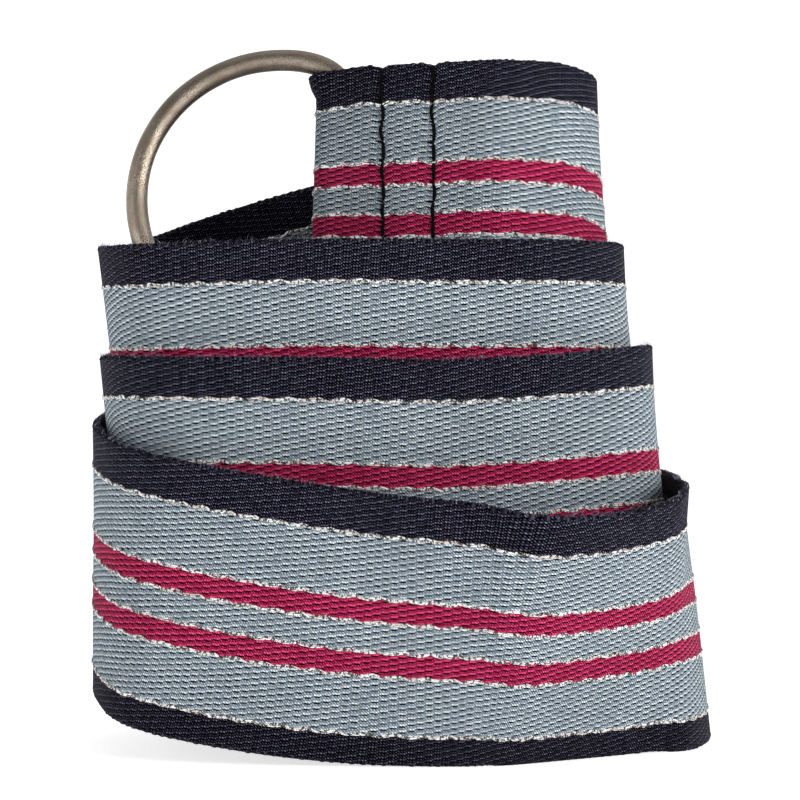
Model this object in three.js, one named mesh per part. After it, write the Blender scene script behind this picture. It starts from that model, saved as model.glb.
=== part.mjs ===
// Striped webbing belt with a D-ring, coiled and standing on its edge.
// Millimetres. X points right, Y away from the viewer and Z up. The outermost turn is the lowest.
import * as THREE from "three";
import { mergeVertices } from "three/addons/utils/BufferGeometryUtils.js";

// Webbing
const strapWidth = 40;
const strapThickness = 1.2;
const edgeBevelWidth = 0.4;
const edgeBevelDepth = 0.35;
const stationStep = 3.2;
const samplesPerStation = 40;

// Fold round the ring's bar, sewn down on itself
const layerGap = 0.3;
const barGap = 0.45;
const barToCoil = 18.5;
const loopSteps = 14;
const crossoverStart = 2.4;
const crossoverEnd = 7.4;
const crossoverSteps = 8;
const tailEnd = 19.4;
const foldWidth = 38.2;
const foldWidthReach = 6;
const foldSkew = THREE.MathUtils.degToRad(2);

// The fold's mouths stand open where the ring leaves them: how far outward, and over how much of the
// width at each edge
const mouthFlare = 1.2;
const mouthReach = 3.8;

// D-ring
const wireDiameter = 3.2;
const wireSides = 12;
const ringSteps = 120;
const bowHalfHeight = 21.7;
const bowDepth = 21.7;
const shoulderDepth = 7.9;
const shoulderHeight = 3.6;
const barSlack = 0.3;
const ringSwivel = THREE.MathUtils.degToRad(20.5);

// Where the middle of the strap runs, one row for each bend, in path order from the stitching on.
// right and away are measured from the coil's axis, foot is the lower edge's height above the surface,
// and lean is how far the upper edge tips outward, in degrees.
const columns = { right: 0, away: 1, foot: 2, lean: 3 };

const firstTurn = [
  [7.0, -17.4, 62.9, -15],
  [13.5, -19.6, 63.1, -15],
  [19.4, -18.4, 62.8, -14],
  [25.4, -14.1, 62.1, -11],
  [29.7, -6.6, 59.8, -6],
  [29.2, 4.2, 56.5, -3],
  [22.3, 14.7, 53.2, -1],
  [8.0, 22.5, 48.8, 0],
  [-8.0, 25.5, 44.8, 0],
  [-24.0, 22.0, 40.0, 2],
  [-37.0, 12.0, 35.4, 5],
];

const secondTurn = [
  [-42.3, -2.0, 34.7, 7],
  [-38.0, -17.0, 34.8, 6],
  [-27.0, -24.2, 35.2, 5],
  [-10.0, -27.2, 35.6, 5],
  [6.0, -27.5, 35.5, 5],
  [20.6, -25.4, 35.4, 4],
  [30.8, -17.2, 34.9, 0],
  [34.6, -4.0, 34.1, -7],
  [32.0, 10.0, 32.5, -5],
  [20.0, 22.0, 29.5, 0],
  [2.0, 28.5, 26.5, 0],
  [-18.0, 27.0, 23.5, 0],
  [-34.6, 17.0, 20.6, 4],
];

const thirdTurn = [
  [-42.2, 1.0, 18.2, 6],
  [-39.3, -17.0, 18.6, 6],
  [-29.0, -25.8, 18.9, 8],
  [-12.0, -29.5, 19.0, 9],
  [6.0, -30.0, 18.7, 9],
  [21.2, -26.9, 19.5, 10],
  [33.4, -18.4, 19.9, 4],
  [38.6, -4.0, 19.4, -6],
  [36.0, 12.0, 17.6, -4],
  [22.0, 25.0, 15.5, 0],
  [2.0, 31.5, 13.5, 0],
  [-20.0, 30.5, 11.5, 0],
  [-38.6, 20.6, 10.6, 0],
];

const fourthTurn = [
  [-45.0, 3.0, 8.8, 0],
  [-44.0, -14.0, 7.1, 0],
  [-37.6, -26.5, 4.8, 0],
  [-23.0, -33.3, 2.2, 3],
  [-6.0, -36.2, 0.3, 9],
  [10.0, -38.8, 0.0, 16],
  [20.0, -38.1, 0.0, 24],
  [36.6, -23.8, 0.0, 16.5],
  [42.1, -12.7, 0.0, -3],
  [44.1, 7.4, 0.0, -6.8],
  [37.5, 22.6, 0.0, -2],
  [20.0, 33.0, 0.0, 0],
  [0.0, 36.5, 0.0, 0],
  [-20.0, 34.5, 0.0, 0],
];

const stations = [...firstTurn, ...secondTurn, ...thirdTurn, ...fourthTurn];

// Smooth value of one column at a place between two stations
function columnAt(name, place) {
  const index = Math.min(Math.floor(place), stations.length - 2);
  const part = place - index;
  const here = stations[index][columns[name]];
  const next = stations[index + 1][columns[name]];
  const before = index > 0 ? stations[index - 1][columns[name]] : 2 * here - next;
  const after = index < stations.length - 2 ? stations[index + 2][columns[name]] : 2 * next - here;
  const slopeHere = (next - before) / 2;
  const slopeNext = (after - here) / 2;
  const square = part * part;
  const cube = square * part;
  return (
    (2 * cube - 3 * square + 1) * here +
    (cube - 2 * square + part) * slopeHere +
    (3 * square - 2 * cube) * next +
    (cube - square) * slopeNext
  );
}

function leanAt(place) {
  return THREE.MathUtils.degToRad(columnAt("lean", place));
}

function middleAt(place) {
  const height = columnAt("foot", place) + (strapWidth / 2) * Math.cos(leanAt(place));
  return new THREE.Vector3(columnAt("right", place), columnAt("away", place), height);
}

// A section holds the strap's middle, the way along it, across it to the upper edge, and outward
function makeSection(middle, along, lean) {
  const upright = new THREE.Vector3(0, 0, 1).addScaledVector(along, -along.z).normalize();
  const level = new THREE.Vector3().crossVectors(along, upright);
  const across = upright.multiplyScalar(Math.cos(lean)).addScaledVector(level, Math.sin(lean));
  const outward = new THREE.Vector3().crossVectors(along, across);
  return { middle, along, across, outward, width: strapWidth, flare: 0 };
}

// Evenly spaced sections along the coil
function coilSections() {
  const last = stations.length - 1;
  const places = [];
  const distances = [];
  let travelled = 0;
  let previous = middleAt(0);
  for (let sample = 0; sample <= last * samplesPerStation; sample += 1) {
    const place = sample / samplesPerStation;
    const middle = middleAt(place);
    travelled += middle.distanceTo(previous);
    previous = middle;
    places.push(place);
    distances.push(travelled);
  }
  const count = Math.round(travelled / stationStep);
  const sections = [];
  let sample = 0;
  for (let step = 0; step <= count; step += 1) {
    const goal = (travelled * step) / count;
    while (sample < distances.length - 2 && distances[sample + 1] < goal) {
      sample += 1;
    }
    const part = (goal - distances[sample]) / (distances[sample + 1] - distances[sample]);
    const place = THREE.MathUtils.lerp(places[sample], places[sample + 1], part);
    const reach = 0.5 / samplesPerStation;
    const ahead = middleAt(Math.min(place + reach, last));
    const behind = middleAt(Math.max(place - reach, 0));
    const along = ahead.sub(behind).normalize();
    sections.push(makeSection(middleAt(place), along, leanAt(place)));
  }
  return sections;
}

// The fold lies in the plane across the bar. Its drawing has the loop's centre at the origin, x runs
// from there to the coil, and y outward.
const loopRadius = wireDiameter / 2 + barGap + strapThickness / 2;
const tailOffset = loopRadius - strapThickness - layerGap;

// The loop's centre, in the middle of the strap's width
function loopCentre(start) {
  const centre = start.middle.clone().addScaledVector(start.along, -barToCoil);
  return centre.addScaledVector(start.outward, -loopRadius);
}

function foldDrawing() {
  const points = [new THREE.Vector2(tailEnd, tailOffset)];
  points.push(new THREE.Vector2((tailEnd + crossoverEnd) / 2, tailOffset));
  for (let step = crossoverSteps; step >= 0; step -= 1) {
    const part = step / crossoverSteps;
    const ease = (1 - Math.cos(Math.PI * part)) / 2;
    const x = THREE.MathUtils.lerp(crossoverStart, crossoverEnd, part);
    points.push(new THREE.Vector2(x, THREE.MathUtils.lerp(-loopRadius, tailOffset, ease)));
  }
  for (let step = 0; step <= loopSteps; step += 1) {
    const angle = (-Math.PI * step) / loopSteps - Math.PI / 2;
    points.push(new THREE.Vector2(loopRadius * Math.cos(angle), loopRadius * Math.sin(angle)));
  }
  for (const x of [barToCoil / 4, barToCoil / 2, (3 * barToCoil) / 4, barToCoil]) {
    points.push(new THREE.Vector2(x, loopRadius));
  }
  return points;
}

// The fold leans a little off square, most at the bar and not at all at the coil
function skewedAcross(start, x) {
  const fade = 1 - THREE.MathUtils.smoothstep(x, 0, barToCoil);
  return start.across.clone().addScaledVector(start.along, -Math.tan(foldSkew) * fade);
}

// Sections from the tail's cut end, round the loop and up to the coil's first section
function foldSections(start) {
  const centre = loopCentre(start);
  const points = foldDrawing();
  const sections = [];
  for (let index = 0; index < points.length - 1; index += 1) {
    const point = points[index];
    const before = points[Math.max(index - 1, 0)];
    const heading = points[index + 1].clone().sub(before).normalize();
    const along = start.along.clone().multiplyScalar(heading.x);
    along.addScaledVector(start.outward, heading.y);
    const middle = centre.clone().addScaledVector(start.along, point.x);
    middle.addScaledVector(start.outward, point.y);
    const outward = new THREE.Vector3().crossVectors(along, start.across);
    const spread = THREE.MathUtils.smoothstep(point.x, 0, foldWidthReach);
    const width = THREE.MathUtils.lerp(foldWidth, strapWidth, spread);
    const flare = mouthFlare * (1 - spread);
    sections.push({ middle, along, across: skewedAcross(start, point.x), outward, width, flare });
  }
  return sections;
}

// Corners of one section. Its long edges are bevelled, and the flare carries them outward.
function sectionCorners(section) {
  const half = section.width / 2;
  const thick = strapThickness / 2;
  const { flare } = section;
  const outline = [
    [-half, flare + thick - edgeBevelDepth],
    [edgeBevelWidth - half, flare + thick],
    [mouthReach - half, thick],
    [half - mouthReach, thick],
    [half - edgeBevelWidth, flare + thick],
    [half, flare + thick - edgeBevelDepth],
    [half, flare + edgeBevelDepth - thick],
    [half - edgeBevelWidth, flare - thick],
    [half - mouthReach, -thick],
    [mouthReach - half, -thick],
    [edgeBevelWidth - half, flare - thick],
    [-half, flare + edgeBevelDepth - thick],
  ];
  return outline.map(([up, out]) => {
    const corner = section.middle.clone();
    corner.addScaledVector(section.across, up);
    corner.addScaledVector(section.outward, out);
    return corner;
  });
}

// Webbing this low rests flat on the surface
const restingHeight = 0.45;

function layFlat(corner) {
  if (corner.z < restingHeight) {
    corner.z = 0;
  }
}

// One closed solid through all sections, with flat ends
function strapGeometry(sections) {
  const positions = [];
  const faces = [];
  for (const section of sections) {
    for (const corner of sectionCorners(section)) {
      layFlat(corner);
      positions.push(corner.x, corner.y, corner.z);
    }
  }
  const sides = positions.length / 3 / sections.length;
  for (let step = 0; step < sections.length - 1; step += 1) {
    for (let side = 0; side < sides; side += 1) {
      const here = step * sides + side;
      const beside = step * sides + ((side + 1) % sides);
      faces.push(here, here + sides, beside, beside, here + sides, beside + sides);
    }
  }
  const lastStart = (sections.length - 1) * sides;
  for (let side = 1; side < sides - 1; side += 1) {
    faces.push(0, side, side + 1);
    faces.push(lastStart, lastStart + side + 1, lastStart + side);
  }
  const geometry = new THREE.BufferGeometry();
  geometry.setAttribute("position", new THREE.Float32BufferAttribute(positions, 3));
  geometry.setIndex(faces);
  geometry.computeVertexNormals();
  return geometry;
}

// Middle line of the wire: x runs from the bar to the bow, z along the bar
class RingLine extends THREE.Curve {
  constructor() {
    super();
    const barHalf = bowHalfHeight - shoulderHeight;
    const quarter = Math.PI / 2;
    this.outline = new THREE.Path();
    this.outline.moveTo(0, -barHalf);
    this.outline.lineTo(0, barHalf);
    this.outline.absellipse(shoulderDepth, barHalf, shoulderDepth, shoulderHeight, Math.PI, quarter, true);
    this.outline.absellipse(shoulderDepth, 0, bowDepth, bowHalfHeight, quarter, -quarter, true);
    this.outline.absellipse(shoulderDepth, -barHalf, shoulderDepth, shoulderHeight, -quarter, -Math.PI, true);
  }

  getPoint(t, target = new THREE.Vector3()) {
    const point = this.outline.getPoint(t);
    return target.set(point.x, 0, point.y);
  }
}

function ringGeometry() {
  const tube = new THREE.TubeGeometry(new RingLine(), ringSteps, wireDiameter / 2, wireSides, true);
  tube.deleteAttribute("uv");
  tube.deleteAttribute("normal");
  const closed = mergeVertices(tube);
  closed.computeVertexNormals();
  return closed;
}

// The ring's bar lies along the fold, and its bow points away from the coil, swung a little outward
function placeRing(ring, start) {
  const centre = loopCentre(start).addScaledVector(start.along, barSlack);
  const bar = skewedAcross(start, 0).normalize();
  const bow = start.along.clone().multiplyScalar(-Math.cos(ringSwivel));
  bow.addScaledVector(start.outward, Math.sin(ringSwivel));
  bow.addScaledVector(bar, -bow.dot(bar)).normalize();
  const face = new THREE.Vector3().crossVectors(bar, bow);
  ring.position.copy(centre);
  ring.quaternion.setFromRotationMatrix(new THREE.Matrix4().makeBasis(bow, face, bar));
}

const coil = coilSections();
const sections = [...foldSections(coil[0]), ...coil];

const webbing = new THREE.MeshStandardMaterial({ color: 0x4f5a6b, roughness: 0.85, metalness: 0 });
const nickel = new THREE.MeshStandardMaterial({ color: 0x968a7d, roughness: 0.4, metalness: 1 });

const strap = new THREE.Mesh(strapGeometry(sections), webbing);
strap.name = "strap";

const ring = new THREE.Mesh(ringGeometry(), nickel);
ring.name = "d_ring";
placeRing(ring, coil[0]);

// The origin is under the middle of the coil, on the surface it stands on
const belt = new THREE.Group();
belt.add(strap, ring);
const box = new THREE.Box3().setFromObject(belt, true);
const middle = box.getCenter(new THREE.Vector3());
belt.position.set(-middle.x, -middle.y, -box.min.z);

export default belt;
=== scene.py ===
# Striped webbing belt with a D-ring, coiled and standing on its edge.
import math
import random

import bpy
import numpy as np
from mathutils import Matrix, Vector


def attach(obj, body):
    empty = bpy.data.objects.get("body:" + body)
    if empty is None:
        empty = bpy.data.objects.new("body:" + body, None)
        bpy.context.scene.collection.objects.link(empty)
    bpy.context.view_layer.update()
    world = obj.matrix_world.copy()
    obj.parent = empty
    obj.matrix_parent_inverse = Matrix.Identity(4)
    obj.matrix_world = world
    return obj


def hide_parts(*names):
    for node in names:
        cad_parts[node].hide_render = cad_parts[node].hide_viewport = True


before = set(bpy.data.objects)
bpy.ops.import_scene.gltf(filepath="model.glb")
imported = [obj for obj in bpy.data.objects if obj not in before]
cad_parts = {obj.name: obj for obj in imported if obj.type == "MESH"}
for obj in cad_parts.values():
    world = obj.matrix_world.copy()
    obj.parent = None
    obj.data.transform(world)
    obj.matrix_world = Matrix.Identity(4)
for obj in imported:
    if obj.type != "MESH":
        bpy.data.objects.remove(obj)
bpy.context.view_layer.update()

# Lengths are in millimetres until they go into a mesh
MM = 0.001

# Webbing
WIDTH = 40.0
THICKNESS = 1.2
SELVEDGE = THICKNESS / 2
MESH_STEP = 0.8
FACE_COLUMNS = 28
SELVEDGE_STEPS = 6

# How far the webbing's cockles stand out in all, and how far past the fold they are full
COCKLE = 0.14
COCKLE_REACH = 8.0

# Fold round the ring's bar
LAYER_GAP = 0.3
BAR_GAP = 0.45
BAR_TO_COIL = 18.5
CROSSOVER_START = 2.4
CROSSOVER_END = 7.4
TAIL_END = 19.4
FOLD_WIDTH = 38.2
FOLD_WIDTH_REACH = 6.0
FOLD_SKEW = math.radians(2)
FOLD_POINTS = {"tail": 60, "crossover": 40, "under": 12, "turn": 60, "front": 80}
MOUTH_FLARE = 1.2
MOUTH_REACH = 3.8
MOUTH_RIM = 0.8

# Ring
WIRE = 3.2
BOW_HALF_HEIGHT = 21.7
BOW_DEPTH = 21.7
SHOULDER_DEPTH = 7.9
SHOULDER_HEIGHT = 3.6
BAR_SLACK = 0.3
RING_SWIVEL = math.radians(20.5)

LOOP_RADIUS = WIRE / 2 + BAR_GAP + THICKNESS / 2
TAIL_OFFSET = LOOP_RADIUS - THICKNESS - LAYER_GAP

# Where the coil's axis stands in the object's frame, and the sections between two bends of the path
COIL_AXIS = (-0.5764, 5.0727)
SECTIONS = 60

# Weave: the ribs' pitch across the strap, the picks' pitch along it, and how much of a rib's pitch
# the ribs climb at each pick
RIB = 0.86
PICK = 1.27
CLIMB = 1 / 3

# The yarn's strands: their pitch along the strap, and how far they slant for each millimetre of height
STRAND_PITCH = PICK / 3
STRAND_SLANT = 0.9

# Stripes, from the lower edge up, as heights on the strap
STRIPE_EDGES = (4.6, 13.3, 16.9, 21.2, 24.7, 33.9)

# How far a stripe's edge follows the ribs, as a share of their pitch
EDGE_STEP = 0.45

# Where the middle of the strap runs, one row for each bend: right and away of the coil's axis, the
# lower edge's height, and the outward lean in degrees
STATIONS = np.array(
    [
        # first turn
        (7.0, -17.4, 62.9, -15),
        (13.5, -19.6, 63.1, -15),
        (19.4, -18.4, 62.8, -14),
        (25.4, -14.1, 62.1, -11),
        (29.7, -6.6, 59.8, -6),
        (29.2, 4.2, 56.5, -3),
        (22.3, 14.7, 53.2, -1),
        (8.0, 22.5, 48.8, 0),
        (-8.0, 25.5, 44.8, 0),
        (-24.0, 22.0, 40.0, 2),
        (-37.0, 12.0, 35.4, 5),
        # second turn
        (-42.3, -2.0, 34.7, 7),
        (-38.0, -17.0, 34.8, 6),
        (-27.0, -24.2, 35.2, 5),
        (-10.0, -27.2, 35.6, 5),
        (6.0, -27.5, 35.5, 5),
        (20.6, -25.4, 35.4, 4),
        (30.8, -17.2, 34.9, 0),
        (34.6, -4.0, 34.1, -7),
        (32.0, 10.0, 32.5, -5),
        (20.0, 22.0, 29.5, 0),
        (2.0, 28.5, 26.5, 0),
        (-18.0, 27.0, 23.5, 0),
        (-34.6, 17.0, 20.6, 4),
        # third turn
        (-42.2, 1.0, 18.2, 6),
        (-39.3, -17.0, 18.6, 6),
        (-29.0, -25.8, 18.9, 8),
        (-12.0, -29.5, 19.0, 9),
        (6.0, -30.0, 18.7, 9),
        (21.2, -26.9, 19.5, 10),
        (33.4, -18.4, 19.9, 4),
        (38.6, -4.0, 19.4, -6),
        (36.0, 12.0, 17.6, -4),
        (22.0, 25.0, 15.5, 0),
        (2.0, 31.5, 13.5, 0),
        (-20.0, 30.5, 11.5, 0),
        (-38.6, 20.6, 10.6, 0),
        # fourth turn
        (-45.0, 3.0, 8.8, 0),
        (-44.0, -14.0, 7.1, 0),
        (-37.6, -26.5, 4.8, 0),
        (-23.0, -33.3, 2.2, 3),
        (-6.0, -36.2, 0.3, 9),
        (10.0, -38.8, 0.0, 16),
        (20.0, -38.1, 0.0, 24),
        (36.6, -23.8, 0.0, 16.5),
        (42.1, -12.7, 0.0, -3),
        (44.1, 7.4, 0.0, -6.8),
        (37.5, 22.6, 0.0, -2),
        (20.0, 33.0, 0.0, 0),
        (0.0, 36.5, 0.0, 0),
        (-20.0, 34.5, 0.0, 0),
    ]
)


def unit(vectors):
    return vectors / np.linalg.norm(vectors, axis=-1, keepdims=True)


def smooth(value, low, high):
    part = np.clip((value - low) / (high - low), 0, 1)
    return part * part * (3 - 2 * part)


# The strap's path
def stations_at(place):
    """The stations' four columns at places between them, on a smooth curve through them all."""
    index = np.minimum(place.astype(int), len(STATIONS) - 2)
    part = (place - index)[:, None]
    first = 2 * STATIONS[0] - STATIONS[1]
    last = 2 * STATIONS[-1] - STATIONS[-2]
    rows = np.vstack([first, STATIONS, last])
    before, here, after, next_after = (rows[index + shift] for shift in range(4))
    slope_here = (after - before) / 2
    slope_after = (next_after - here) / 2
    square, cube = part**2, part**3
    return (
        (2 * cube - 3 * square + 1) * here
        + (cube - 2 * square + part) * slope_here
        + (3 * square - 2 * cube) * after
        + (cube - square) * slope_after
    )


def coil_path():
    """Dense sections along the coil: middle, along, across and outward."""
    spans = len(STATIONS) - 1
    place = np.linspace(0, spans, spans * SECTIONS + 1)
    right, away, foot, lean = stations_at(place).T
    lean = np.radians(lean)
    height = foot + WIDTH / 2 * np.cos(lean)
    middle = np.column_stack([right + COIL_AXIS[0], away + COIL_AXIS[1], height])
    along = unit(np.gradient(middle, axis=0))
    upright = unit(np.array([0, 0, 1]) - along * along[:, 2:])
    level = np.cross(along, upright)
    across = upright * np.cos(lean)[:, None] + level * np.sin(lean)[:, None]
    return middle, along, across, np.cross(along, across)


def fold_drawing():
    """The fold in the plane across the bar, from the tail's end to the coil. x is towards the coil."""
    tail = [(x, TAIL_OFFSET) for x in np.linspace(TAIL_END, CROSSOVER_END, FOLD_POINTS["tail"])]
    part = np.linspace(1, 0, FOLD_POINTS["crossover"])[1:]
    rise = (1 - np.cos(np.pi * part)) / 2
    crossover = zip(
        CROSSOVER_START + (CROSSOVER_END - CROSSOVER_START) * part,
        -LOOP_RADIUS + (TAIL_OFFSET + LOOP_RADIUS) * rise,
    )
    under = [(x, -LOOP_RADIUS) for x in np.linspace(CROSSOVER_START, 0, FOLD_POINTS["under"])[1:]]
    angles = np.linspace(-1, -3, FOLD_POINTS["turn"])[1:] * math.pi / 2
    turn = [(LOOP_RADIUS * math.cos(angle), LOOP_RADIUS * math.sin(angle)) for angle in angles]
    front = [(x, LOOP_RADIUS) for x in np.linspace(0, BAR_TO_COIL, FOLD_POINTS["front"])[1:-1]]
    return np.array([*tail, *crossover, *under, *turn, *front])


class Path:
    """The strap's middle surface: its sections at any distance from the tail's cut end."""

    def __init__(self):
        middle, along, across, outward = coil_path()
        self.start = {"along": along[0], "across": across[0], "outward": outward[0]}
        self.loop_centre = middle[0] - along[0] * BAR_TO_COIL - outward[0] * LOOP_RADIUS
        drawing = fold_drawing()
        fold = self.loop_centre + drawing[:, :1] * along[0] + drawing[:, 1:] * outward[0]
        heading = unit(np.gradient(drawing, axis=0))
        fold_along = heading[:, :1] * along[0] + heading[:, 1:] * outward[0]
        fade = 1 - smooth(drawing[:, :1], 0, BAR_TO_COIL)
        fold_across = across[0] - along[0] * math.tan(FOLD_SKEW) * fade
        spread = smooth(drawing[:, 0], 0, FOLD_WIDTH_REACH)
        narrowed = FOLD_WIDTH + (WIDTH - FOLD_WIDTH) * spread
        self.middle = np.vstack([fold, middle])
        self.across = np.vstack([fold_across, across])
        self.outward = np.cross(np.vstack([fold_along, along]), self.across)
        self.width = np.concatenate([narrowed, np.full(len(middle), WIDTH)])
        self.openness = np.concatenate([1 - spread, np.zeros(len(middle))])
        steps = np.linalg.norm(np.diff(self.middle, axis=0), axis=1)
        self.distance = np.concatenate([[0], np.cumsum(steps)])
        self.length = self.distance[-1]
        self.fold_length = self.distance[len(fold)]

    def at(self, distance):
        """Middle, across, outward and width at distances along the strap."""

        def column(values):
            return np.interp(distance, self.distance, values)

        def vectors(values):
            return np.stack([column(values[:, axis]) for axis in range(3)], axis=-1)

        across, outward = unit(vectors(self.across)), unit(vectors(self.outward))
        return vectors(self.middle), across, outward, column(self.width)

    def flare(self, distance, height):
        """How far the fold's mouths stand open."""
        from_middle = np.abs(height - WIDTH / 2)
        open_part = smooth(from_middle, WIDTH / 2 - MOUTH_REACH, WIDTH / 2 - MOUTH_RIM)
        return MOUTH_FLARE * open_part * np.interp(distance, self.distance, self.openness)


path = Path()


def front_place(x):
    """Distance along the strap of a place x on the fold's front layer, x from the loop's centre."""
    return path.fold_length - (BAR_TO_COIL - x)


# The two rows of stitches, by their distance from the loop's centre. They slant a little across the strap.
STITCH_ROWS = (8.0, 15.75)
ROW_SLANT = 0.056
ROW_LEVEL = 31.5
STITCH_PITCH = 3.06

# How the rows draw the webbing in: a dip that is deepest at the holes, a pull down that is full above
# the lower edge, and a notch in the edges
PUCKER_DEPTH = 0.34
PUCKER_REACH = 0.8
PUCKER_RIPPLE = 0.2
DRAG = 0.25
DRAG_REACH = 0.8
DRAG_HEIGHTS = (1, 12)
EDGE_NOTCH = 0.15


def row_place(row, height):
    """How far one row of stitches is from the loop's centre at a height on the strap."""
    return row + ROW_SLANT * (ROW_LEVEL - height)


def near_rows(distance, height, reach):
    """One at each row of stitches on the front layer, fading to none within the reach."""
    places = (front_place(row_place(row, height)) for row in STITCH_ROWS)
    return sum(np.exp(-(((distance - place) / reach) ** 2)) for place in places)


def relief(distance, height):
    """How far the strap's middle stands out: cockles, dips at the stitches and the fold's mouths."""
    # Slow waves that cross each other, so that no two cockles are alike
    wave = np.sin(distance / 5.3 + 0.8 * np.sin(height / 7.0)) * np.sin(height / 9.0 + distance / 31.0)
    wave += 0.7 * np.sin(distance / 11.7 + height / 6.1 + 1.3)
    out = COCKLE / 2 * wave * smooth(distance, path.fold_length, path.fold_length + COCKLE_REACH)
    pull = 1 - PUCKER_RIPPLE * (1 - np.cos(2 * np.pi * (height - 1.0) / STITCH_PITCH))
    out = out - PUCKER_DEPTH * pull * near_rows(distance, height, PUCKER_REACH)
    return out + path.flare(distance, height)


def drag(distance, height):
    """How far the stitches have drawn the front layer down."""
    return DRAG * near_rows(distance, height, DRAG_REACH) * smooth(height, *DRAG_HEIGHTS)


def surface(distance, height, lift):
    """Points at a height on the strap, from 0 to its width, and lift outward of its middle."""
    middle, across, outward, width = path.at(distance)
    scale = (width - 2 * EDGE_NOTCH * near_rows(distance, height, DRAG_REACH)) / WIDTH
    up = (height - WIDTH / 2) * scale - drag(distance, height)
    out = lift + relief(distance, height)
    points = middle + across * up[..., None] + outward * out[..., None]
    points[..., 2] = np.maximum(points[..., 2], 0)
    return points


# Meshes
def add_piece(name, points, faces, coordinates, shades=None):
    """A mesh object from points in millimetres, with a map named weave and a shade for each point."""
    mesh = bpy.data.meshes.new(name)
    mesh.from_pydata((np.asarray(points) * MM).tolist(), [], faces)
    corner_points = np.zeros(len(mesh.loops), dtype=np.int32)
    mesh.loops.foreach_get("vertex_index", corner_points)
    layer = mesh.uv_layers.new(name="weave")
    layer.data.foreach_set("uv", np.asarray(coordinates, dtype=np.float32)[corner_points].ravel())
    if shades is not None:
        attribute = mesh.attributes.new("shade", "FLOAT", "POINT")
        attribute.data.foreach_set("value", np.asarray(shades, dtype=np.float32))
    mesh.polygons.foreach_set("use_smooth", np.ones(len(mesh.polygons), dtype=bool))
    mesh.update()
    piece = bpy.data.objects.new(name, mesh)
    bpy.context.collection.objects.link(piece)
    return piece


def ring_faces(rows, columns, closed_rows=False):
    """Quads between the rows of a grid whose columns run round and join."""
    faces = []
    for row in range(rows if closed_rows else rows - 1):
        here = row * columns
        there = (row + 1) % rows * columns
        for column in range(columns):
            beside = (column + 1) % columns
            faces.append((here + column, there + column, there + beside, here + beside))
    return faces


def strap_profile():
    """Height and lift of the points round one section, up the outer face and down the inner."""
    faces = np.linspace(SELVEDGE, WIDTH - SELVEDGE, FACE_COLUMNS + 1)
    turn = np.linspace(0, np.pi, SELVEDGE_STEPS + 1)[1:-1]
    half = THICKNESS / 2
    top = (WIDTH - SELVEDGE + SELVEDGE * np.sin(turn), half * np.cos(turn))
    bottom = (SELVEDGE - SELVEDGE * np.sin(turn), -half * np.cos(turn))
    heights = np.concatenate([faces, top[0], faces[::-1], bottom[0]])
    lifts = np.concatenate([np.full(len(faces), half), top[1], np.full(len(faces), -half), bottom[1]])
    return heights, lifts


def make_strap():
    """The webbing, from the tail's cut end to the end behind the lowest turn."""
    heights, lifts = strap_profile()
    count = round(path.length / MESH_STEP)
    distances = np.linspace(0, path.length, count + 1)
    distance, height = np.meshgrid(distances, heights, indexing="ij")
    lift = np.broadcast_to(lifts, distance.shape)
    points = surface(distance, height, lift).reshape(-1, 3)
    coordinates = np.column_stack([distance.ravel(), height.ravel()])
    columns = len(heights)
    faces = ring_faces(len(distances), columns)
    for first, turned in ((0, False), ((len(distances) - 1) * columns, True)):
        cap = tuple(first + column for column in range(columns))
        faces.append(cap[::-1] if turned else cap)
    outside = smooth(lift, -SELVEDGE, SELVEDGE).ravel()
    return add_piece("webbing", points, faces, coordinates, outside)


# Tubes: threads, stitches, fibres and the ring's wire
def tube(centres, sides_a, sides_b, radii_a, radii_b, sides):
    """Points and faces of one closed tube. sides_a and sides_b point across it, the way along it is
    their cross product, and the radii are its half sizes."""
    turn = np.linspace(0, 2 * np.pi, sides, endpoint=False)
    across = sides_a[:, None] * (radii_a[:, None] * np.cos(turn))[..., None]
    outward = sides_b[:, None] * (radii_b[:, None] * np.sin(turn))[..., None]
    points = (centres[:, None] + across + outward).reshape(-1, 3)
    faces = [quad[::-1] for quad in ring_faces(len(centres), sides)]
    last = (len(centres) - 1) * sides
    faces.append(tuple(range(sides))[::-1])
    faces.append(tuple(range(last, last + sides)))
    return points, faces


class Bundle:
    """Many small closed tubes in one mesh."""

    def __init__(self):
        self.points, self.faces, self.coordinates, self.shades = [], [], [], []
        self.count = 0

    def add(self, points, faces, distance, height, shade):
        """One tube, with the distance and height on the strap of each of its rings."""
        sides = len(points) // len(distance)
        self.points.append(points)
        self.faces.extend(tuple(corner + self.count for corner in face) for face in faces)
        self.coordinates.append(np.column_stack([np.repeat(distance, sides), np.repeat(height, sides)]))
        self.shades.append(np.full(len(points), shade))
        self.count += len(points)

    def piece(self, name):
        points, coordinates = np.vstack(self.points), np.vstack(self.coordinates)
        return add_piece(name, points, self.faces, coordinates, np.concatenate(self.shades))


# Metallic threads along the stripes' edges. Each is a twist of thin strands, and shows as a long and a
# short stretch on every rib that the edge crosses.
RIB_CLIMB = CLIMB * RIB / PICK
LONG_SHARE = 0.6
THREAD_SWING = 0.28
THREAD_END = 0.5
STRAND_APART = 0.17
STRAND_HALF_WIDTH = 0.15
STRAND_HALF_HEIGHT = 0.1
STRAND_SINK = 0.02
STRAND_RISE = 0.1
STRAND_SIDES = 3
LONG_STRETCH = np.array([0, 0.16, 0.5, 0.84, 1.0])
SHORT_STRETCH = np.array([0, 0.3, 0.7, 1.0])


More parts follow.
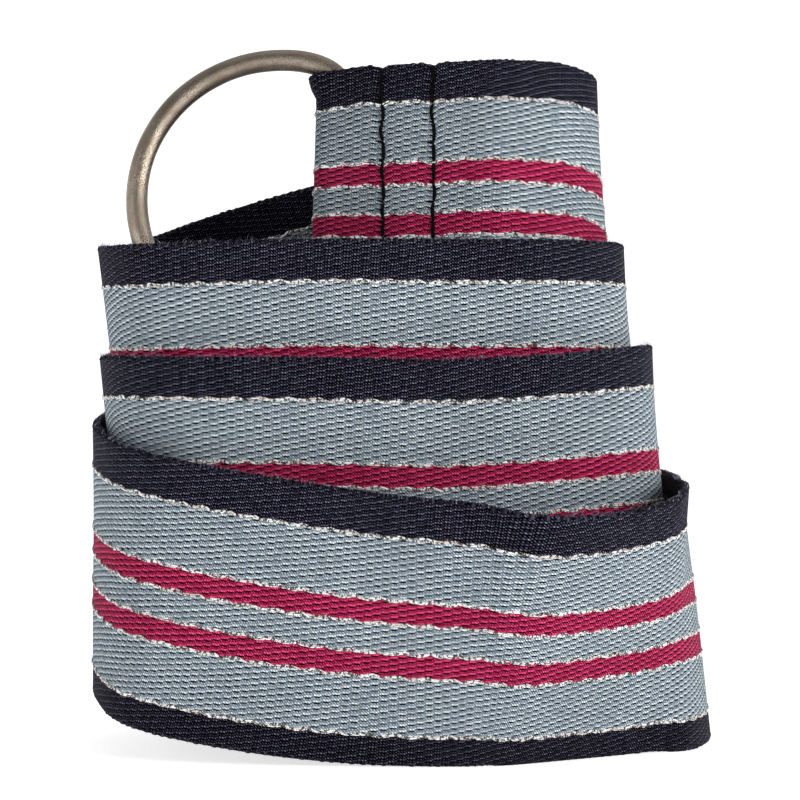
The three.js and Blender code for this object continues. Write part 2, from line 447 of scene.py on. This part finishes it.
def edge_stretches(edge):
    """Start and end of each stretch of one stripe edge, as distance and height on the strap."""
    period = RIB / RIB_CLIMB
    first = edge / RIB_CLIMB - period * math.floor(edge / RIB_CLIMB / period)
    half = THREAD_SWING / 2
    for start in np.arange(first - period, path.length, period):
        rise_end = start + period * LONG_SHARE
        yield (start, edge - half), (rise_end, edge + half), True
        yield (rise_end, edge + half), (start + period, edge - half), False


def strand(start, end, rings, level, side, draw):
    """One thin strand of a stretch: it dips under the picks at both ends and crosses its neighbours."""
    from_distance, from_height = start
    to_distance, to_height = end
    part = rings + draw.uniform(-0.06, 0.06) * (1 - rings) + draw.uniform(-0.08, 0.06) * rings
    turn = level * math.pi + draw.uniform(-0.5, 0.5)
    twist = np.cos(turn + part * draw.uniform(1.6, 3.4))
    distance = from_distance + (to_distance - from_distance) * part
    height = from_height + (to_height - from_height) * part + STRAND_APART * twist
    height = height + draw.uniform(-0.05, 0.05)
    rise = np.sin(np.pi * np.linspace(0, 1, len(rings))) ** 0.5
    roll = 0.06 * np.sin(turn + part * 3)
    lift = side * (THICKNESS / 2 - STRAND_SINK + STRAND_RISE * rise + roll)
    centres = surface(distance, height, lift)
    _, across, outward, _ = path.at(distance)
    size = draw.uniform(0.75, 1.25) * (0.65 + 0.35 * rise)
    wide, high = STRAND_HALF_WIDTH * size, STRAND_HALF_HEIGHT * size
    points, faces = tube(centres, across, outward * side, wide, high, STRAND_SIDES)
    if side < 0:
        faces = [face[::-1] for face in faces]
    return points, faces, distance, height


def make_threads(name, side, strands, draw):
    """The metallic threads on one face of the strap."""
    bundle = Bundle()
    for edge in STRIPE_EDGES:
        for start, end, rising in edge_stretches(edge):
            if start[0] < THREAD_END or end[0] > path.length - THREAD_END:
                continue
            rings = LONG_STRETCH if rising else SHORT_STRETCH
            for level in range(strands):
                if not rising and level == 2 and draw.random() < 0.5:
                    continue
                made = strand(start, end, rings, 2 * level / strands, side, draw)
                bundle.add(*made, draw.random())
    return bundle.piece(name)


# The picks turn back at both edges in small round loops: their half sizes along, across and through the
# strap, how they lean upward and outward along it, and how near the ends of the strap they stop
LOOP_LENGTH = 0.52 * PICK
LOOP_HEIGHT = 0.5
LOOP_DEPTH = 0.66
LOOP_LEAN = 0.16
LOOP_TURN = 0.12
LOOP_END = 0.8
LOOP_RINGS = 6
LOOP_SIDES = 8


def make_selvedge(name, upper, draw):
    """The loops along one edge of the strap."""
    bundle = Bundle()
    part = np.linspace(-1, 1, LOOP_RINGS)
    full = np.sqrt(np.maximum(1 - part**2, 0.03))
    for pick in range(int(path.length / PICK)):
        centre = (pick + 0.5) * PICK + draw.uniform(-0.08, 0.08)
        if centre < LOOP_END or centre > path.length - LOOP_END:
            continue
        distance = centre + part * LOOP_LENGTH
        drop = draw.uniform(0.36, 0.5)
        height = (WIDTH - drop if upper else drop) + LOOP_LEAN * part
        centres = surface(distance, height, LOOP_TURN * part)
        _, across, outward, _ = path.at(distance)
        points, faces = tube(centres, across, outward, LOOP_HEIGHT * full, LOOP_DEPTH * full, LOOP_SIDES)
        points[:, 2] = np.maximum(points[:, 2], 0)
        bundle.add(points, faces, distance, height, draw.random())
    return bundle.piece(name)


# Loose fibres that stand up from the upper selvedge, past the ring's shoulder
FIBRE_COUNT = 2600
FIBRE_START = front_place(4.0)
FIBRE_LENGTH = (0.3, 1.5)
FIBRE_RADIUS = 0.032
FIBRE_ROOT = 0.15
FIBRE_RINGS = 5
FIBRE_SIDES = 3


def make_fuzz(draw):
    """Short fibres that curl along, over and through the upper edge."""
    bundle = Bundle()
    part = np.linspace(0, 1, FIBRE_RINGS)
    radii = FIBRE_RADIUS * (1 - 0.5 * part)
    for _ in range(FIBRE_COUNT):
        length = draw.uniform(*FIBRE_LENGTH)
        root = draw.uniform(FIBRE_START, path.length - FIBRE_LENGTH[1])
        distance = root + length * (draw.uniform(-0.4, 0.4) * part + draw.uniform(-0.9, 0.9) * part**2)
        height = WIDTH - FIBRE_ROOT + length * (0.7 * part - draw.uniform(0.0, 0.5) * part**2)
        lift = draw.uniform(-0.4, 0.5) + length * draw.uniform(-0.5, 0.5) * part**2
        centres = surface(distance, height, lift)
        _, across, outward, _ = path.at(distance)
        points, faces = tube(centres, outward, np.cross(across, outward), radii, radii, FIBRE_SIDES)
        bundle.add(points, faces, distance, height, draw.random())
    return bundle.piece("selvedge_fuzz")


# Stitches: the thread's radius, how near the strap's edges the rows end, how deep a stitch starts and how
# far it rises, how far it may sway, and the least gap between one stitch and the next
STITCH_RADIUS = 0.29
STITCH_FOOT = 0.9
STITCH_TOP = 0.5
STITCH_SINK = 0.2
STITCH_RISE = 0.42
STITCH_SWAY = 0.28
STITCH_PART = 0.02
STITCH_RINGS = 10
STITCH_SIDES = 8

# The short ends beside the holes
HOLE_RADIUS = 0.19
HOLE_START = 0.15
HOLE_SINK = 0.14
HOLE_RISE = 0.16
HOLE_RINGS = 6
HOLE_SIDES = 6


def stitch_distance(row, height, side):
    """Distance along the strap of a row of stitches, on the front layer or on the tail under it."""
    place = row_place(row, height)
    return front_place(place) if side > 0 else TAIL_END - place


def make_stitches(draw):
    """Two rows of black thread through the fold, seen on its outer and inner layers."""
    bundle = Bundle()
    part = np.linspace(0, 1, STITCH_RINGS)
    bow = np.sin(np.pi * part)
    rise = bow**0.45
    radii = STITCH_RADIUS * (0.72 + 0.28 * rise)
    for row in STITCH_ROWS:
        for side in (1, -1):
            height = STITCH_FOOT
            while height < WIDTH - 2 * STITCH_TOP:
                top = min(height + STITCH_PITCH * draw.uniform(0.94, 1.06), WIDTH - STITCH_TOP)
                heights = height + STITCH_PART + (top - height - 2 * STITCH_PART) * part
                sway = draw.uniform(-STITCH_SWAY, STITCH_SWAY)
                distance = stitch_distance(row, heights, side) + sway * bow
                lift = side * (THICKNESS / 2 - STITCH_SINK + STITCH_RISE * rise)
                centres = surface(distance, heights, lift)
                _, across, outward, _ = path.at(distance)
                along = np.cross(across, outward)
                points, faces = tube(centres, outward, along, radii, radii, STITCH_SIDES)
                bundle.add(points, faces, distance, heights, draw.random())
                add_hole_thread(bundle, stitch_distance(row, top, side), top, side, draw)
                height = top
    return bundle.piece("stitches")


def add_hole_thread(bundle, base, height, side, draw):
    """The short end of a stitch that shows beside its hole."""
    part = np.linspace(0, 1, HOLE_RINGS)
    distance = base + HOLE_START - draw.uniform(0.7, 1.2) * part
    heights = height - draw.uniform(-0.1, 0.25) * part
    rise = np.sin(np.pi * (0.25 + 0.7 * part))
    centres = surface(distance, heights, side * (THICKNESS / 2 - HOLE_SINK + HOLE_RISE * rise))
    _, across, outward, _ = path.at(distance)
    radii = HOLE_RADIUS * (0.5 + 0.5 * rise)
    points, faces = tube(centres, outward, across, radii, radii, HOLE_SIDES)
    bundle.add(points, faces, distance, heights, draw.random())


# Ring: how many sections it has, the points round each, how far wear has worn it out of round, and the
# points on each stretch of its outline
RING_STEPS = 420
RING_SIDES = 36
RING_WEAR = (0.02, 0.015)
BAR_POINTS = 60
SHOULDER_POINTS = 60
BOW_POINTS = 260


def ring_outline():
    """Middle line of the wire: x runs from the bar to the bow, z along the bar."""
    bar_half = BOW_HALF_HEIGHT - SHOULDER_HEIGHT
    bar = [(0, z) for z in np.linspace(-bar_half, bar_half, BAR_POINTS)[:-1]]

    def arc(centre_z, wide, high, start, end, count):
        angles = np.radians(np.linspace(start, end, count))[:-1]
        return [(SHOULDER_DEPTH + wide * math.cos(a), centre_z + high * math.sin(a)) for a in angles]

    upper = arc(bar_half, SHOULDER_DEPTH, SHOULDER_HEIGHT, 180, 90, SHOULDER_POINTS)
    bow = arc(0, BOW_DEPTH, BOW_HALF_HEIGHT, 90, -90, BOW_POINTS)
    lower = arc(-bar_half, SHOULDER_DEPTH, SHOULDER_HEIGHT, -90, -180, SHOULDER_POINTS)
    return np.array([*bar, *upper, *bow, *lower])


def even_loop(outline, count):
    """A closed outline at even steps."""
    closed = np.vstack([outline, outline[:1]])
    travelled = np.concatenate([[0], np.cumsum(np.linalg.norm(np.diff(closed, axis=0), axis=1))])
    goals = np.linspace(0, travelled[-1], count, endpoint=False)
    return np.column_stack([np.interp(goals, travelled, closed[:, axis]) for axis in range(2)]), goals


def make_ring():
    """The D-ring's wire, its bar in the fold's loop and its bow turned a little outward."""
    start = path.start
    centre = path.loop_centre + start["along"] * BAR_SLACK
    bar = unit(start["across"] - start["along"] * math.tan(FOLD_SKEW))
    bow = -start["along"] * math.cos(RING_SWIVEL) + start["outward"] * math.sin(RING_SWIVEL)
    bow = unit(bow - bar * np.dot(bow, bar))
    face = np.cross(bar, bow)
    line, travelled = even_loop(ring_outline(), RING_STEPS)
    centres = centre + line[:, :1] * bow + line[:, 1:] * bar
    heading = unit(np.roll(centres, -1, axis=0) - np.roll(centres, 1, axis=0))
    sideways = np.cross(heading, face)
    turn = np.linspace(0, 2 * np.pi, RING_SIDES, endpoint=False)
    wear = RING_WEAR[0] * np.sin(travelled / 3.1)[:, None] * np.sin(2 * turn + 0.7)
    wear = wear + RING_WEAR[1] * np.sin(travelled / 1.7 + 2.0)[:, None] * np.sin(3 * turn)
    radius = WIRE / 2 + wear
    points = (
        centres[:, None]
        + sideways[:, None] * (radius * np.cos(turn))[..., None]
        + face * (radius * np.sin(turn))[..., None]
    )
    faces = ring_faces(RING_STEPS, RING_SIDES, closed_rows=True)
    turned = np.tile(turn * WIRE / 2, RING_STEPS)
    coordinates = np.column_stack([np.repeat(travelled, RING_SIDES), turned])
    return add_piece("ring_wire", points.reshape(-1, 3), faces, coordinates)


# Materials
def linear(red, green, blue):
    """A colour given as it is seen on screen, 0 to 255."""

    def channel(value):
        value /= 255
        return value / 12.92 if value <= 0.04045 else ((value + 0.055) / 1.055) ** 2.4

    return (channel(red), channel(green), channel(blue), 1.0)


class Nodes:
    """Builds a material's nodes from short calls."""

    def __init__(self, name):
        self.material = bpy.data.materials.new(name)
        self.material.use_nodes = True
        self.tree = self.material.node_tree
        self.tree.nodes.clear()
        self.shader = self.make("ShaderNodeBsdfPrincipled")
        output = self.make("ShaderNodeOutputMaterial")
        self.tree.links.new(self.shader.outputs[0], output.inputs[0])

    def make(self, kind, **settings):
        node = self.tree.nodes.new(kind)
        for name, value in settings.items():
            setattr(node, name, value)
        return node

    def put(self, socket, value):
        if isinstance(value, bpy.types.NodeSocket):
            self.tree.links.new(value, socket)
        else:
            socket.default_value = value

    def math(self, operation, *values):
        node = self.make("ShaderNodeMath", operation=operation)
        for socket, value in zip(node.inputs, values):
            self.put(socket, value)
        return node.outputs[0]

    def ramp(self, value, low, high, to_low=0.0, to_high=1.0):
        """A smooth step of value from low to high."""
        node = self.make("ShaderNodeMapRange", interpolation_type="SMOOTHSTEP")
        for socket, given in zip(node.inputs, (value, low, high, to_low, to_high)):
            self.put(socket, given)
        return node.outputs[0]

    def mix(self, amount, first, second, blend="MIX"):
        """A mix of two colours, which are on a Mix node's inputs 6 and 7, with the result on output 2."""
        node = self.make("ShaderNodeMix", data_type="RGBA", blend_type=blend)
        self.put(node.inputs[0], amount)
        self.put(node.inputs[6], first)
        self.put(node.inputs[7], second)
        return node.outputs[2]

    def joined(self, x, y, z=0.0):
        node = self.make("ShaderNodeCombineXYZ")
        for socket, value in zip(node.inputs, (x, y, z)):
            self.put(socket, value)
        return node.outputs[0]

    def noise(self, vector, scale, detail=2.0, roughness=0.5):
        node = self.make("ShaderNodeTexNoise")
        self.put(node.inputs["Vector"], vector)
        node.inputs["Scale"].default_value = scale
        node.inputs["Detail"].default_value = detail
        node.inputs["Roughness"].default_value = roughness
        return node.outputs[0]

    def random(self, vector):
        node = self.make("ShaderNodeTexWhiteNoise", noise_dimensions="3D")
        self.put(node.inputs["Vector"], vector)
        return node.outputs["Value"]

    def weave_place(self):
        """Distance and height on the strap in millimetres, or the ways along and round the ring's wire."""
        node = self.make("ShaderNodeUVMap", uv_map="weave")
        parts = self.make("ShaderNodeSeparateXYZ")
        self.put(parts.inputs[0], node.outputs[0])
        return parts.outputs[0], parts.outputs[1]

    def bump(self, height, distance):
        """Relief that stands distance millimetres high where height is 1."""
        node = self.make("ShaderNodeBump")
        node.inputs["Strength"].default_value = 1.0
        node.inputs["Distance"].default_value = distance * MM
        self.put(node.inputs["Height"], height)
        return node.outputs[0]

    def set(self, **values):
        for name, value in values.items():
            self.put(self.shader.inputs[name.replace("_", " ")], value)


# The stripes' yarns, from the lower edge up, each with the tones of its gaps (painted shade), its body,
# and its pale flecks (partly the yarn's pattern, partly painted highlight)
NAVY, BLUE, MAGENTA = "navy", "blue", "magenta"
STRIPES = (NAVY, BLUE, MAGENTA, BLUE, MAGENTA, BLUE, NAVY)
YARN_COLOURS = {
    NAVY: {"gap": linear(0, 0, 1), "body": linear(1, 1, 6), "fleck_and_highlight": linear(168, 165, 200)},
    BLUE: {"gap": linear(2, 6, 10), "body": linear(90, 105, 119), "fleck_and_highlight": linear(246, 254, 255)},
    MAGENTA: {"gap": linear(14, 0, 4), "body": linear(106, 4, 40), "fleck_and_highlight": linear(255, 90, 144)},
}


# The faint bluish sheen of the yarn, and how far the stripes' edges are softened in the masks
SHEEN_TINT = (0.78, 0.8, 0.95, 1.0)
EDGE_BLUR = 0.1
LOWEST_EDGE, HIGHEST_EDGE = STRIPE_EDGES[0], STRIPE_EDGES[-1]


def stripe_colour(nodes, height, tone):
    """The stripes' colours at a height on the strap, in one of the yarns' tones."""
    node = nodes.make("ShaderNodeValToRGB")
    node.color_ramp.interpolation = "CONSTANT"
    elements = node.color_ramp.elements
    while len(elements) < len(STRIPES):
        elements.new(0.5)
    for element, start in zip(elements, (0, *STRIPE_EDGES)):
        element.position = start / WIDTH
    for element, yarn in zip(elements, STRIPES):
        element.color = YARN_COLOURS[yarn][tone]
    nodes.put(node.inputs[0], nodes.math("DIVIDE", height, WIDTH))
    return node.outputs[0]


def shade_of(nodes):
    """The shade of each point: 1 on the strap's outer face and 0 on its inner, or one for each tube."""
    return nodes.make("ShaderNodeAttribute", attribute_name="shade").outputs["Fac"]


def webbing_material():
    nodes = Nodes("woven_stripes")
    distance, height = nodes.weave_place()
    wobble = nodes.noise(nodes.joined(distance, height), 0.35)
    wobble = nodes.math("MULTIPLY_ADD", wobble, 0.44, -0.22)

    # Ribs that climb a third of their pitch at each pick
    picks = nodes.math("DIVIDE", distance, PICK)
    pick = nodes.math("FLOOR", picks)
    in_pick = nodes.math("SUBTRACT", picks, pick)
    step = nodes.ramp(in_pick, 0.62, 1.0)
    climbed = nodes.math("MULTIPLY", nodes.math("ADD", pick, step), CLIMB)
    ribs = nodes.math("SUBTRACT", nodes.math("DIVIDE", height, RIB), climbed)
    ribs = nodes.math("ADD", ribs, wobble)
    rib = nodes.math("FLOOR", ribs)
    in_rib = nodes.math("SUBTRACT", ribs, rib)
    from_middle = nodes.math("ABSOLUTE", nodes.math("SUBTRACT", in_rib, 0.5))
    from_middle = nodes.math("MULTIPLY", from_middle, 2.0)

    # Painted shade in dashes between the ribs, one at each pick
    cell = nodes.joined(pick, nodes.math("FLOOR", nodes.math("ADD", ribs, 0.5)))
    chance = nodes.random(cell)
    dash = nodes.math("MULTIPLY", nodes.ramp(in_pick, 0.02, 0.14), nodes.ramp(in_pick, 0.8, 0.62))
    dash = nodes.math("MULTIPLY", dash, nodes.ramp(chance, 0.05, 0.5, 0.55, 1.0))
    gap = nodes.ramp(from_middle, 0.58, 0.82)
    gap = nodes.math("MULTIPLY", gap, nodes.math("MULTIPLY_ADD", dash, 0.76, 0.24))

    # Slanting strands of yarn show as two rows of flecks on each rib, partly the yarn's pattern and partly
    # painted highlight, with the strongest painted highlight just above the dashes
    slant = nodes.math("DIVIDE", nodes.math("MULTIPLY_ADD", height, STRAND_SLANT, distance), STRAND_PITCH)
    slant = nodes.math("MULTIPLY_ADD", wobble, 2.5, slant)
    wave = nodes.math("COSINE", nodes.math("MULTIPLY", slant, 2 * math.pi))
    wave = nodes.math("MULTIPLY_ADD", wave, 0.5, 0.5)
    rows = nodes.math("COSINE", nodes.math("MULTIPLY", in_rib, 4 * math.pi))
    rows = nodes.math("MULTIPLY_ADD", rows, -0.22, 0.78)
    row = nodes.math("FLOOR", nodes.math("MULTIPLY", ribs, 2.0))
    fleck_chance = nodes.random(nodes.joined(nodes.math("FLOOR", nodes.math("ADD", slant, 0.5)), row))
    beside = nodes.math("MULTIPLY", nodes.ramp(in_pick, -0.05, 0.1), nodes.ramp(in_pick, 0.95, 0.75))
    above = nodes.math("MULTIPLY", beside, nodes.ramp(in_rib, 0.56, 0.44))
    above = nodes.math("MULTIPLY", above, nodes.ramp(chance, 0.0, 0.7, 0.5, 1.0))
    highlight_above_dash = nodes.math("MULTIPLY", above, nodes.ramp(in_rib, 0.06, 0.16))

    # The dark yarn has narrower flecks, and less painted highlight above the dashes
    above_foot = nodes.ramp(height, LOWEST_EDGE - EDGE_BLUR, LOWEST_EDGE + EDGE_BLUR)
    below_top = nodes.ramp(height, HIGHEST_EDGE + EDGE_BLUR, HIGHEST_EDGE - EDGE_BLUR)
    pale_yarn = nodes.math("MULTIPLY", above_foot, below_top)
    fleck_low = nodes.math("MULTIPLY_ADD", pale_yarn, -0.18, 0.63)
    fleck_high = nodes.math("MULTIPLY_ADD", pale_yarn, -0.16, 0.98)
    fleck = nodes.ramp(nodes.math("MULTIPLY", wave, rows), fleck_low, fleck_high)
    fleck = nodes.math("MULTIPLY", fleck, nodes.ramp(fleck_chance, 0.0, 0.85, 0.3, 1.0))
    fleck_base = nodes.math("MULTIPLY_ADD", pale_yarn, 0.17, 0.38)
    fleck_share = nodes.math("MULTIPLY_ADD", above, 0.5, fleck_base)
    highlight_share = nodes.math("MULTIPLY_ADD", pale_yarn, 0.26, 0.05)
    fleck_and_highlight = nodes.math("MULTIPLY_ADD", fleck, fleck_share, nodes.math("MULTIPLY", highlight_above_dash, highlight_share))

    # Stripe edges follow the ribs part of the way, so they are stepped
    climb = nodes.math("MULTIPLY", picks, CLIMB)
    straight = nodes.math("SUBTRACT", nodes.math("DIVIDE", height, RIB), climb)
    offset = nodes.math("SUBTRACT", nodes.math("FRACT", straight), 0.5)
    stepped = nodes.math("SUBTRACT", height, nodes.math("MULTIPLY", offset, EDGE_STEP * RIB))

    # The body's colour, the flecks' tone with its painted highlight, and the painted shade of the gaps
    body, fleck_highlight_colour, gap_shade_colour = (
        stripe_colour(nodes, stepped, tone) for tone in ("body", "fleck_and_highlight", "gap")
    )
    colour = nodes.mix(fleck_and_highlight, body, fleck_highlight_colour)
    colour = nodes.mix(gap, colour, gap_shade_colour)

    # Broad and fine changes of tone, and painted shade on the inner face where it shows inside the coil,
    # in the fold and on the lower edge
    cloud = nodes.noise(nodes.joined(distance, height), 0.06, 3.0)
    cloud = nodes.ramp(cloud, 0.3, 0.7, 0.93, 1.04)
    yarns = nodes.noise(nodes.joined(nodes.math("MULTIPLY", distance, 0.05), height), 1.4, 2.0)
    yarns = nodes.ramp(yarns, 0.3, 0.7, -0.04, 0.05)
    tone = nodes.math("ADD", cloud, yarns)
    inner_face_shade = nodes.ramp(shade_of(nodes), 0.3, 0.7, 0.5, 1.0)
    fold_shade = nodes.ramp(distance, front_place(6.0), front_place(17.5), 0.76, 1.0)
    foot_shade = nodes.ramp(height, LOWEST_EDGE - 2 * EDGE_BLUR, LOWEST_EDGE + 2 * EDGE_BLUR, 0.7, 1.0)
    for painted_shade in (inner_face_shade, fold_shade, foot_shade):
        tone = nodes.math("MULTIPLY", tone, painted_shade)
    colour = nodes.mix(1.0, colour, nodes.joined(tone, tone, tone), blend="MULTIPLY")

    # Ribs stand proud of the dashes, strands of their gaps, and fibres run along the strands
    groove = nodes.ramp(from_middle, 0.66, 1.0)
    groove = nodes.math("MULTIPLY", groove, nodes.math("MULTIPLY_ADD", dash, 0.7, 0.3))
    strands = nodes.math("MULTIPLY_ADD", wave, 0.4, 0.6)
    relief_height = nodes.math("MULTIPLY", nodes.math("SUBTRACT", 1.0, groove), strands)
    fibre_place = nodes.joined(nodes.math("MULTIPLY", slant, 6.0), nodes.math("MULTIPLY", height, 1.5))
    fibre = nodes.noise(fibre_place, 1.0)
    relief_height = nodes.math("MULTIPLY_ADD", fibre, 0.15, relief_height)
    nodes.set(
        Base_Color=colour,
        Roughness=nodes.math("MULTIPLY_ADD", fleck_and_highlight, -0.18, 0.68),
        Normal=nodes.bump(relief_height, 0.2),
        Sheen_Weight=0.015,
        Sheen_Roughness=0.25,
        Sheen_Tint=SHEEN_TINT,
        Specular_IOR_Level=0.02,
    )
    return nodes.material


def thread_material():
    nodes = Nodes("metallic_thread")
    distance, height = nodes.weave_place()
    glint = nodes.noise(nodes.joined(distance, nodes.math("MULTIPLY", height, 2.0)), 1.7, 3.0, 0.6)
    turns = nodes.math("MULTIPLY", height, 0.9)
    turns = nodes.math("ADD", nodes.math("MULTIPLY", distance, 0.8), turns)
    turns = nodes.math("MULTIPLY_ADD", glint, 2.4, turns)
    turns = nodes.math("MULTIPLY_ADD", shade_of(nodes), 0.8, turns)
    twist = nodes.math("COSINE", nodes.math("MULTIPLY", turns, 2 * math.pi))
    # Pale tones: partly the thread's own silver, partly painted highlight. The dark specks along the twist
    # are painted shade between the strands' turns.
    paler = nodes.ramp(shade_of(nodes), 0.0, 0.6)
    colour = nodes.mix(paler, linear(222, 210, 202), linear(255, 255, 252))
    dark = nodes.math("MULTIPLY", nodes.ramp(twist, -0.2, -0.65), 0.95)
    colour = nodes.mix(dark, colour, linear(44, 33, 28))
    nodes.set(
        Base_Color=colour,
        Metallic=0.2,
        Roughness=nodes.ramp(shade_of(nodes), 0.0, 1.0, 0.5, 0.3),
        Normal=nodes.bump(twist, 0.08),
    )
    return nodes.material


def selvedge_material():
    nodes = Nodes("selvedge_yarn")
    distance, height = nodes.weave_place()
    slant = nodes.math("MULTIPLY", height, 2.2)
    slant = nodes.math("SUBTRACT", nodes.math("MULTIPLY", distance, 1.6), slant)
    twist = nodes.math("SINE", nodes.math("MULTIPLY", slant, 2 * math.pi))
    fuzz = nodes.noise(nodes.joined(distance, height), 3.5, 3.0)
    light = nodes.ramp(shade_of(nodes), 0, 1, 0.3, 0.8)
    light = nodes.math("MULTIPLY", nodes.ramp(twist, 0.2, 1.0), light)
    colour = nodes.mix(light, linear(15, 14, 21), linear(72, 70, 88))
    colour = nodes.mix(nodes.ramp(fuzz, 0.35, 0.5, 0.5, 0.0), colour, linear(12, 12, 19))
    nodes.set(
        Base_Color=colour,
        Roughness=0.75,
        Normal=nodes.bump(nodes.math("MULTIPLY_ADD", fuzz, 0.6, twist), 0.06),
        Specular_IOR_Level=0.08,
        Sheen_Weight=0.04,
        Sheen_Roughness=0.3,
        Sheen_Tint=SHEEN_TINT,
    )
    return nodes.material


def fibre_material():
    nodes = Nodes("loose_fibre")
    colour = nodes.mix(shade_of(nodes), linear(80, 78, 96), linear(178, 174, 196))
    nodes.set(Base_Color=colour, Roughness=0.8, Specular_IOR_Level=0.1)
    return nodes.material


def stitch_material():
    nodes = Nodes("stitch_thread")
    distance, height = nodes.weave_place()
    slant = nodes.math("MULTIPLY", height, 2.0)
    slant = nodes.math("ADD", nodes.math("MULTIPLY", distance, 2.4), slant)
    twist = nodes.math("SINE", nodes.math("MULTIPLY", slant, 2 * math.pi))
    nodes.set(
        Base_Color=nodes.mix(nodes.ramp(twist, 0.0, 1.0), linear(0, 0, 1), linear(7, 7, 10)),
        Roughness=0.6,
        Normal=nodes.bump(twist, 0.05),
        Specular_IOR_Level=0.06,
    )
    return nodes.material


def nickel_material():
    nodes = Nodes("antique_nickel")
    travelled, turned = nodes.weave_place()
    place = nodes.make("ShaderNodeTexCoord").outputs["Object"]
    patches = nodes.noise(place, 160.0, 4.0, 0.55)
    grain_place = nodes.joined(travelled, nodes.math("MULTIPLY", turned, 1.6))
    grain = nodes.noise(grain_place, 3.4, 4.0, 0.65)
    tarnish_place = nodes.joined(nodes.math("MULTIPLY", travelled, 0.6), turned)
    tarnish = nodes.noise(tarnish_place, 0.9, 3.0, 0.6)
    colour = nodes.mix(nodes.ramp(patches, 0.35, 0.65), linear(150, 140, 127), linear(127, 118, 106))
    colour = nodes.mix(nodes.ramp(tarnish, 0.5, 0.62, 0.0, 0.4), colour, linear(140, 110, 95))
    colour = nodes.mix(nodes.ramp(grain, 0.47, 0.62, 0.0, 0.4), colour, linear(88, 76, 66))
    nodes.set(
        Base_Color=colour,
        Metallic=1.0,
        Roughness=nodes.ramp(patches, 0.3, 0.7, 0.25, 0.35),
        Normal=nodes.bump(grain, 0.08),
    )
    return nodes.material


# The pieces, on the bodies that carry them
def dress(piece, material, body):
    piece.data.materials.append(material)
    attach(piece, body)


strap = make_strap()
thread_finish = thread_material()
selvedge_finish = selvedge_material()
for piece, finish in (
    (strap, webbing_material()),
    (make_threads("metal_threads_outside", 1, 3, random.Random(11)), thread_finish),
    (make_threads("metal_threads_inside", -1, 2, random.Random(12)), thread_finish),
    (make_selvedge("selvedge_top", True, random.Random(21)), selvedge_finish),
    (make_selvedge("selvedge_foot", False, random.Random(22)), selvedge_finish),
    (make_stitches(random.Random(31)), stitch_material()),
    (make_fuzz(random.Random(41)), fibre_material()),
):
    dress(piece, finish, "belt_strap")
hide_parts("strap")

ring = make_ring()
dress(ring, nickel_material(), "ring")
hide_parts("d_ring")


# Floor, lights and camera, in metres. The lamps face the centre.
FLOOR_HALF = 4.0
CENTRE = Vector((0, 0, 0.05))


def make_floor():
    mesh = bpy.data.meshes.new("floor")
    corners = [(x * FLOOR_HALF, y * FLOOR_HALF, 0) for x, y in ((-1, -1), (1, -1), (1, 1), (-1, 1))]
    mesh.from_pydata(corners, [], [(0, 1, 2, 3)])
    floor = bpy.data.objects.new("floor", mesh)
    bpy.context.collection.objects.link(floor)
    nodes = Nodes("pale_floor")
    place = nodes.make("ShaderNodeTexCoord").outputs["Object"]
    cloud = nodes.noise(place, 3.0)
    nodes.set(
        Base_Color=nodes.mix(cloud, linear(244, 244, 244), linear(249, 249, 249)),
        Roughness=0.9,
        Emission_Color=(1.0, 1.0, 1.0, 1.0),
        Emission_Strength=0.6,
    )
    mesh.materials.append(nodes.material)
    return floor


def soft_light(name, place, side, power):
    """A square lamp that faces the belt and isn't seen itself."""
    light = bpy.data.lights.new(name, "AREA")
    light.size = side
    light.energy = power
    lamp = bpy.data.objects.new(name, light)
    lamp.location = place
    lamp.rotation_euler = (CENTRE - Vector(place)).to_track_quat("-Z", "Y").to_euler()
    lamp.visible_camera = False
    bpy.context.collection.objects.link(lamp)


def make_world():
    """White behind the belt, dimmer overhead and on the near side."""
    world = bpy.data.worlds.new("studio")
    world.use_nodes = True
    tree = world.node_tree

    def ramp(value, low, high, to_low, to_high):
        node = tree.nodes.new("ShaderNodeMapRange")
        node.interpolation_type = "SMOOTHSTEP"
        tree.links.new(value, node.inputs[0])
        for socket, given in zip(list(node.inputs)[1:5], (low, high, to_low, to_high)):
            socket.default_value = given
        return node.outputs[0]

    place = tree.nodes.new("ShaderNodeTexCoord")
    direction = tree.nodes.new("ShaderNodeSeparateXYZ")
    tree.links.new(place.outputs["Generated"], direction.inputs[0])
    strength = tree.nodes.new("ShaderNodeMath")
    strength.operation = "MULTIPLY"
    tree.links.new(ramp(direction.outputs["Y"], -0.6, 0.3, 0.5, 1.25), strength.inputs[0])
    tree.links.new(ramp(direction.outputs["Z"], 0.15, 0.8, 1.0, 0.35), strength.inputs[1])
    background = tree.nodes["Background"]
    tree.links.new(strength.outputs[0], background.inputs["Strength"])
    background.inputs["Color"].default_value = (1.0, 1.0, 1.0, 1.0)
    return world


# The photograph's view: its camera's distance from the coil's axis, its height, and its tilt down
CAMERA_DISTANCE = 0.600
CAMERA_HEIGHT = 0.072
CAMERA_TILT = math.radians(1.98)
CAMERA_LENS = 179.2
CAMERA_SENSOR = 36.0


def make_camera():
    data = bpy.data.cameras.new("camera")
    data.sensor_width = CAMERA_SENSOR
    data.lens = CAMERA_LENS
    data.clip_start = 0.01
    data.clip_end = 20.0
    camera = bpy.data.objects.new("camera", data)
    camera.location = (COIL_AXIS[0] * MM, COIL_AXIS[1] * MM - CAMERA_DISTANCE, CAMERA_HEIGHT)
    camera.rotation_euler = (math.pi / 2 - CAMERA_TILT, 0, 0)
    bpy.context.collection.objects.link(camera)
    return camera


make_floor()
soft_light("key_light", (0.8, -0.65, 0.36), 0.5, 8.5)
soft_light("fill_light", (-0.8, -0.65, 0.3), 0.6, 3.2)
soft_light("top_light", (0.1, 0.1, 1.0), 0.8, 1.0)
bpy.context.scene.world = make_world()
bpy.context.scene.camera = make_camera()
bpy.context.scene.view_settings.view_transform = "Standard"
